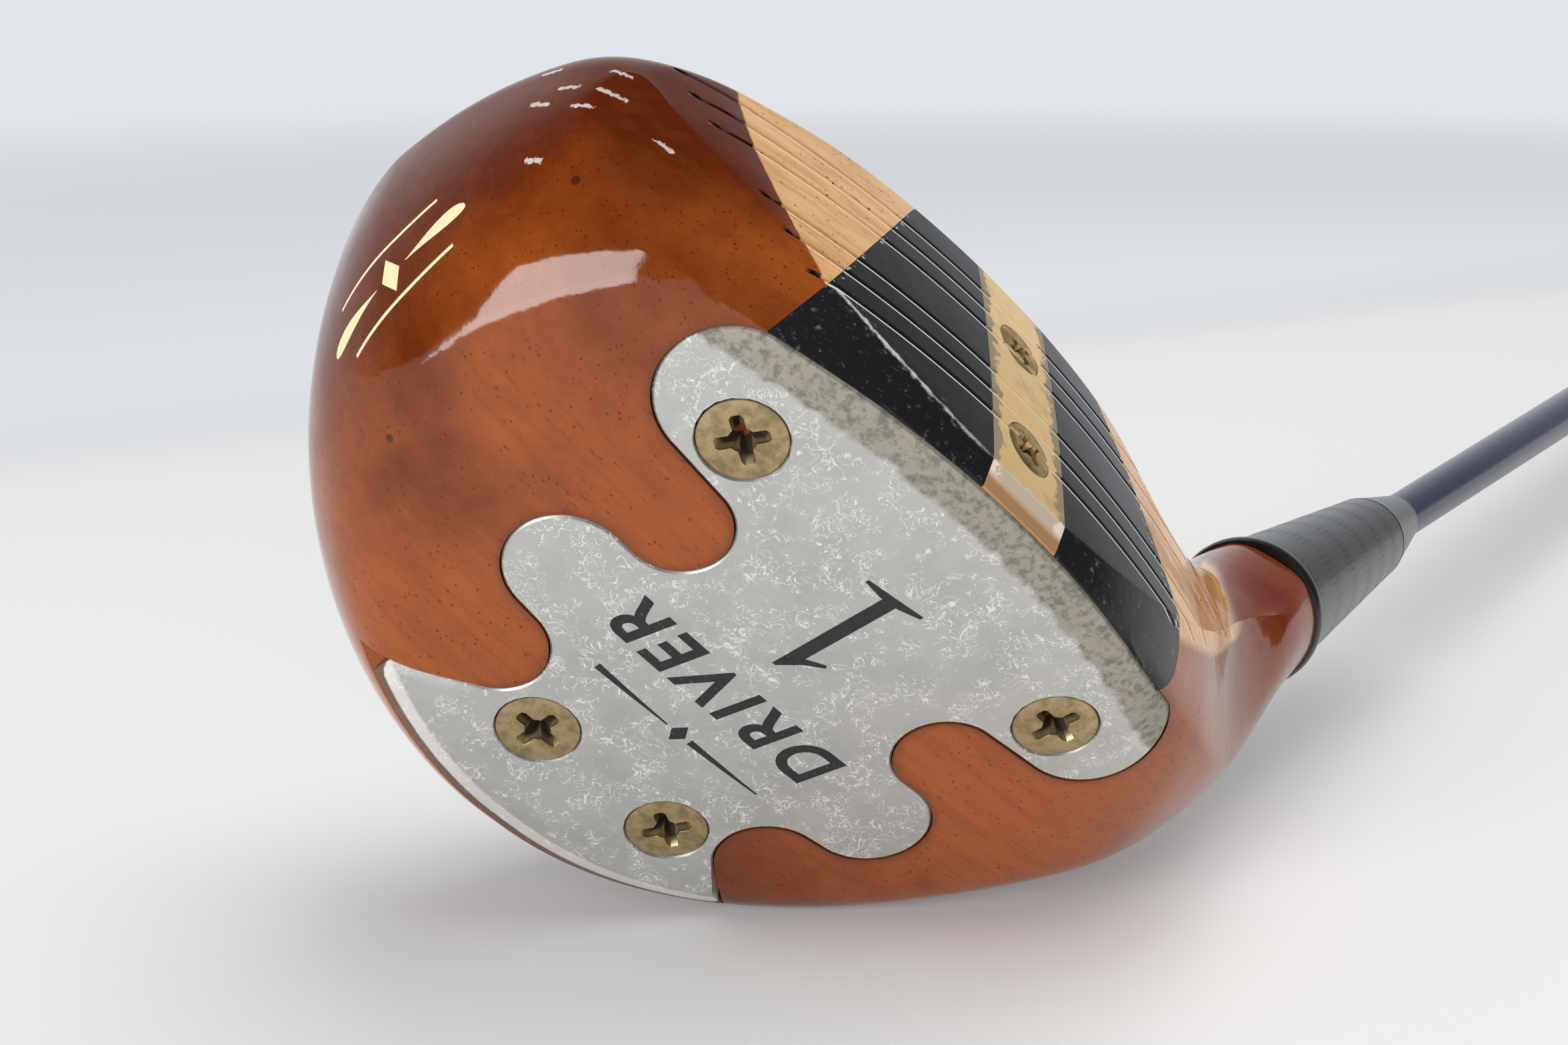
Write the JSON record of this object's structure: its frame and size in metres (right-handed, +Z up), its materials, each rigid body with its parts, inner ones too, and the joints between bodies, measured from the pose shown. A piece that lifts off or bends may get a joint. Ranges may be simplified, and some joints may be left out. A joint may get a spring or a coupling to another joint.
{
  "type": "golf driver",
  "caption": "Vintage persimmon golf driver with a black face insert, brass strip, screwed sole plate, wound neck and rubber grip.",
  "frame": {"origin": "centre of the lying club's box, on the surface it lies on", "axes": "+X along the shaft from head to grip, +Z up from the surface the club lies on"},
  "size_m": [1.1358, 0.095, 0.1026],
  "materials": {
    "lacquered_wood": "gloss lacquer over orange-brown stain, pale on the face",
    "black_insert": "gloss black",
    "brass": "brushed, worn",
    "aged_brass": "dull, aged",
    "sole_aluminium": "satin, scuffed and corroded",
    "lead": "dull cast lead",
    "shaft_paint": "gloss navy black paint",
    "steel": "plain",
    "black_winding": "varnished black thread",
    "grip_tape": "plain",
    "grip_rubber": "matt, moulded"
  },
  "bodies": {
    "root": {"head_block": "lacquered_wood", "face_insert_toe": "black_insert", "face_insert_heel": "black_insert", "face_strip": "brass", "strip_screw_lower": "brass", "strip_screw_upper": "brass", "sole_plate": "sole_aluminium", "backweight_lead": "lead", "shaft": "shaft_paint", "tip_weight": "lead", "shaft_pin": "steel", "whipping_band": "black_winding", "neck_whipping": "black_winding", "shaft_ferrule": "black_winding", "grip_tape": "grip_tape", "grip_sleeve": "grip_rubber", "grip_cap": "grip_rubber", "sole_screw_front_toe": "aged_brass", "sole_screw_front_heel": "aged_brass", "sole_screw_rear_toe": "aged_brass", "sole_screw_rear_heel": "aged_brass"}
  },
  "joints": []
}
